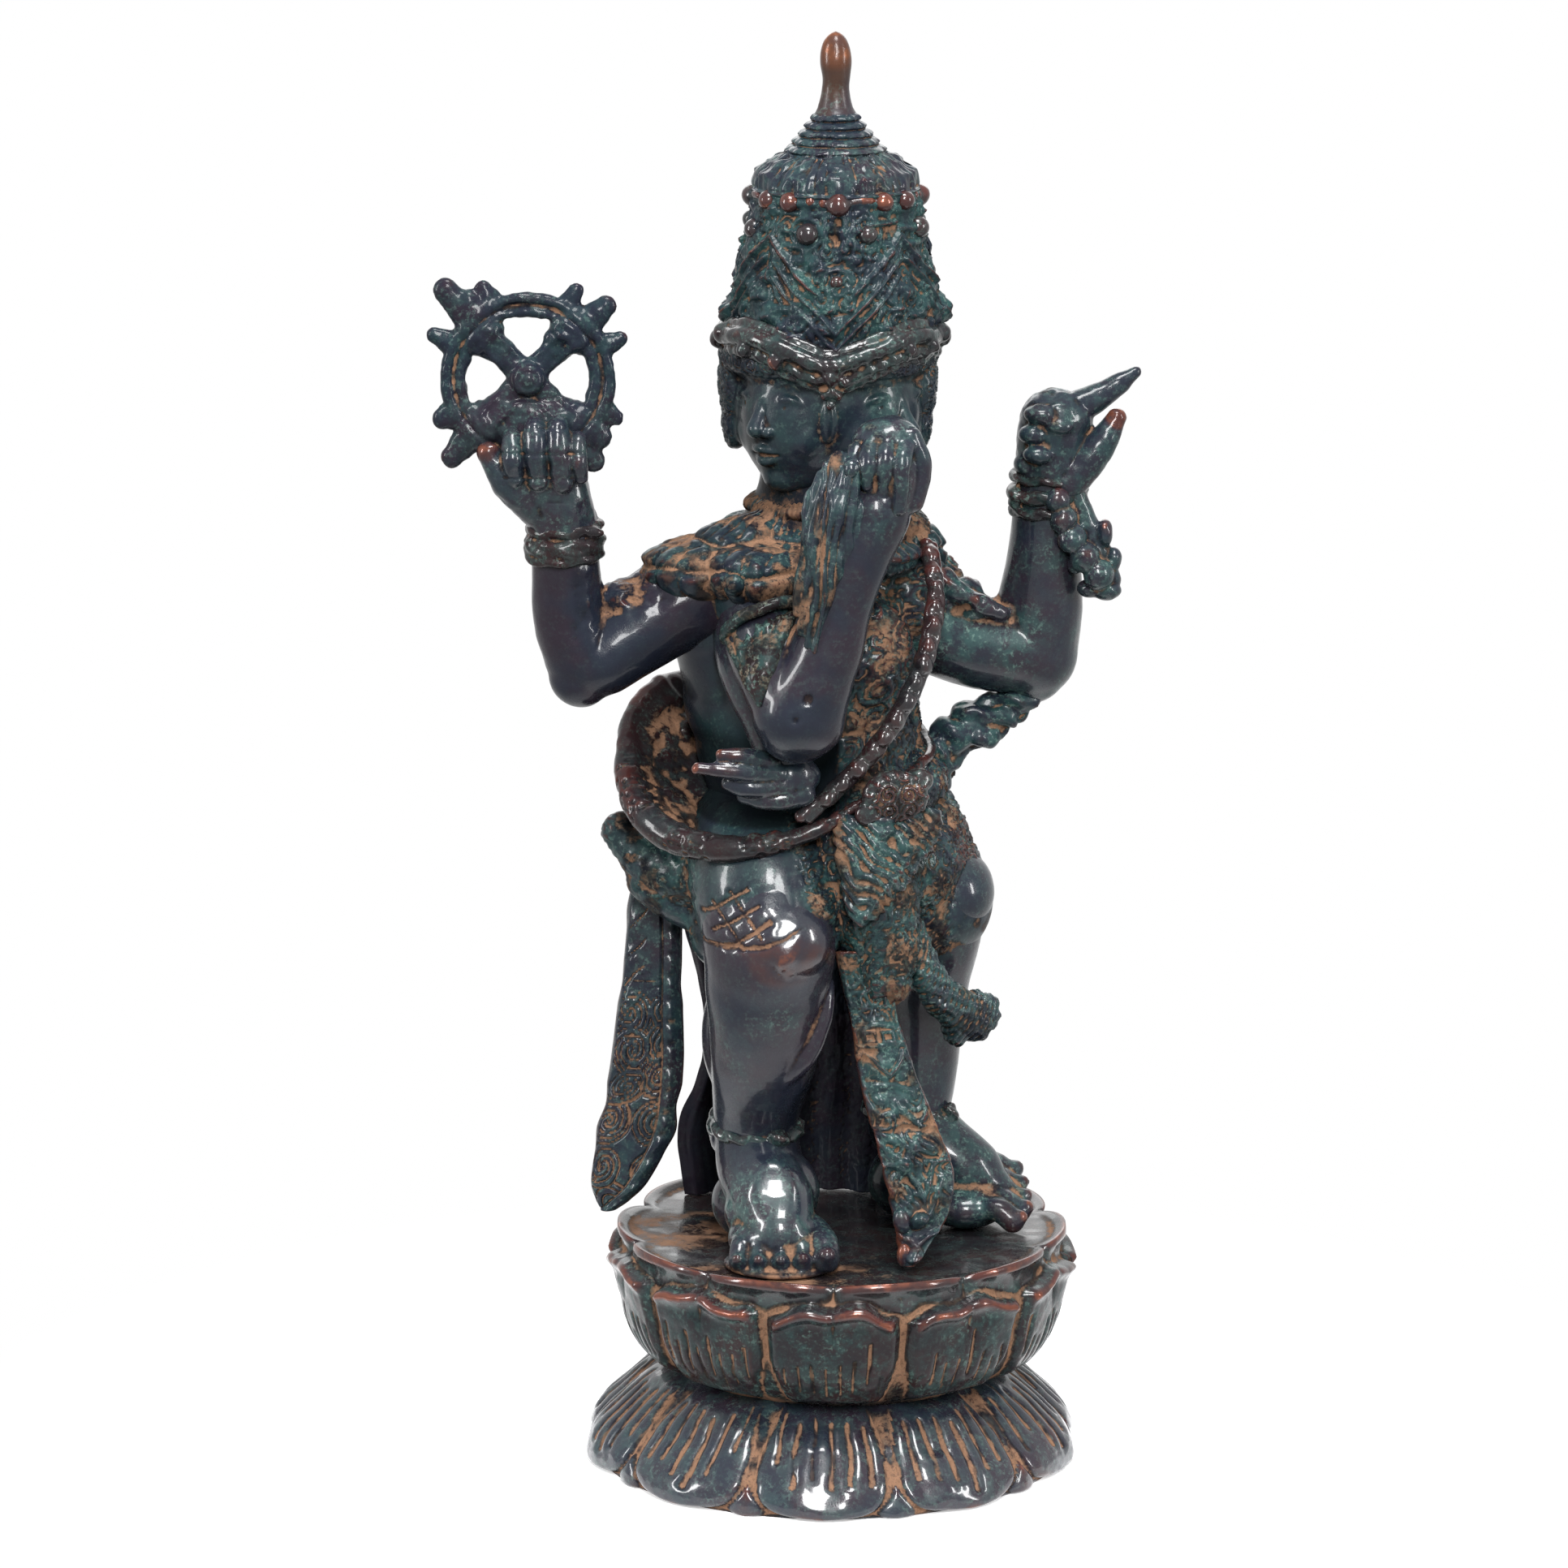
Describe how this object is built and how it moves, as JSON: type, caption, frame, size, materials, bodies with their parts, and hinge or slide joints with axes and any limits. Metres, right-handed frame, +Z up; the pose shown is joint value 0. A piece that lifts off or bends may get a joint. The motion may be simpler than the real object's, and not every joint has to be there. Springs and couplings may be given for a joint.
{
  "type": "deity statuette",
  "caption": "Patinated cast brass deity on a double lotus base, many-armed and many-faced, with a tall crown, a hand-held wheel and a fly whisk.",
  "frame": {"origin": "centre of the base's underside, on the axis of the lower lotus", "axes": "+Z up through the crown; -Y towards the display front; +X to the right as seen from the front"},
  "size_m": [0.1268, 0.091, 0.26],
  "materials": {
    "dark_patina": "slate black patina, burnished and waxed, purple-grey sheen",
    "verdigris_relief": "blue-green verdigris in worked relief, tan dust in the hollows",
    "worn_red": "deep red-brown gloss where hands and edges wear",
    "copper_tip": "bare copper-brown metal, worn bright",
    "bare_brass": "raw, unpolished metal inside the base"
  },
  "bodies": {
    "root": {"lower_lotus": "dark_patina", "upper_lotus": "worn_red", "base_rivet": "bare_brass", "foot_tenons": "bare_brass", "right_leg": "dark_patina", "left_leg": "dark_patina", "right_anklet": "worn_red", "left_anklet": "worn_red", "hip_wrap": "verdigris_relief", "torso": "verdigris_relief", "belt_rim": "worn_red", "buckle": "worn_red", "apron": "verdigris_relief", "collar": "verdigris_relief", "chest_cord": "worn_red", "side_sash": "dark_patina", "centre_sash": "verdigris_relief", "rear_sash": "dark_patina", "curl_tassel": "verdigris_relief", "wheel_arm": "dark_patina", "wheel_hand": "dark_patina", "wheel_bracelet": "worn_red", "wheel": "dark_patina", "shell_arm": "dark_patina", "shell_hand": "dark_patina", "shell_bracelet": "worn_red", "bead_string": "dark_patina", "scarf_loop": "verdigris_relief", "whisk_arm": "dark_patina", "armlet": "worn_red", "whisk_hand": "dark_patina", "fly_whisk": "verdigris_relief", "lowered_arm": "dark_patina", "lowered_hand": "dark_patina", "head": "verdigris_relief", "diadem": "worn_red", "crown": "verdigris_relief", "crown_studs": "worn_red", "crown_cap": "dark_patina", "ringed_cone": "dark_patina", "finial": "copper_tip"}
  },
  "joints": []
}
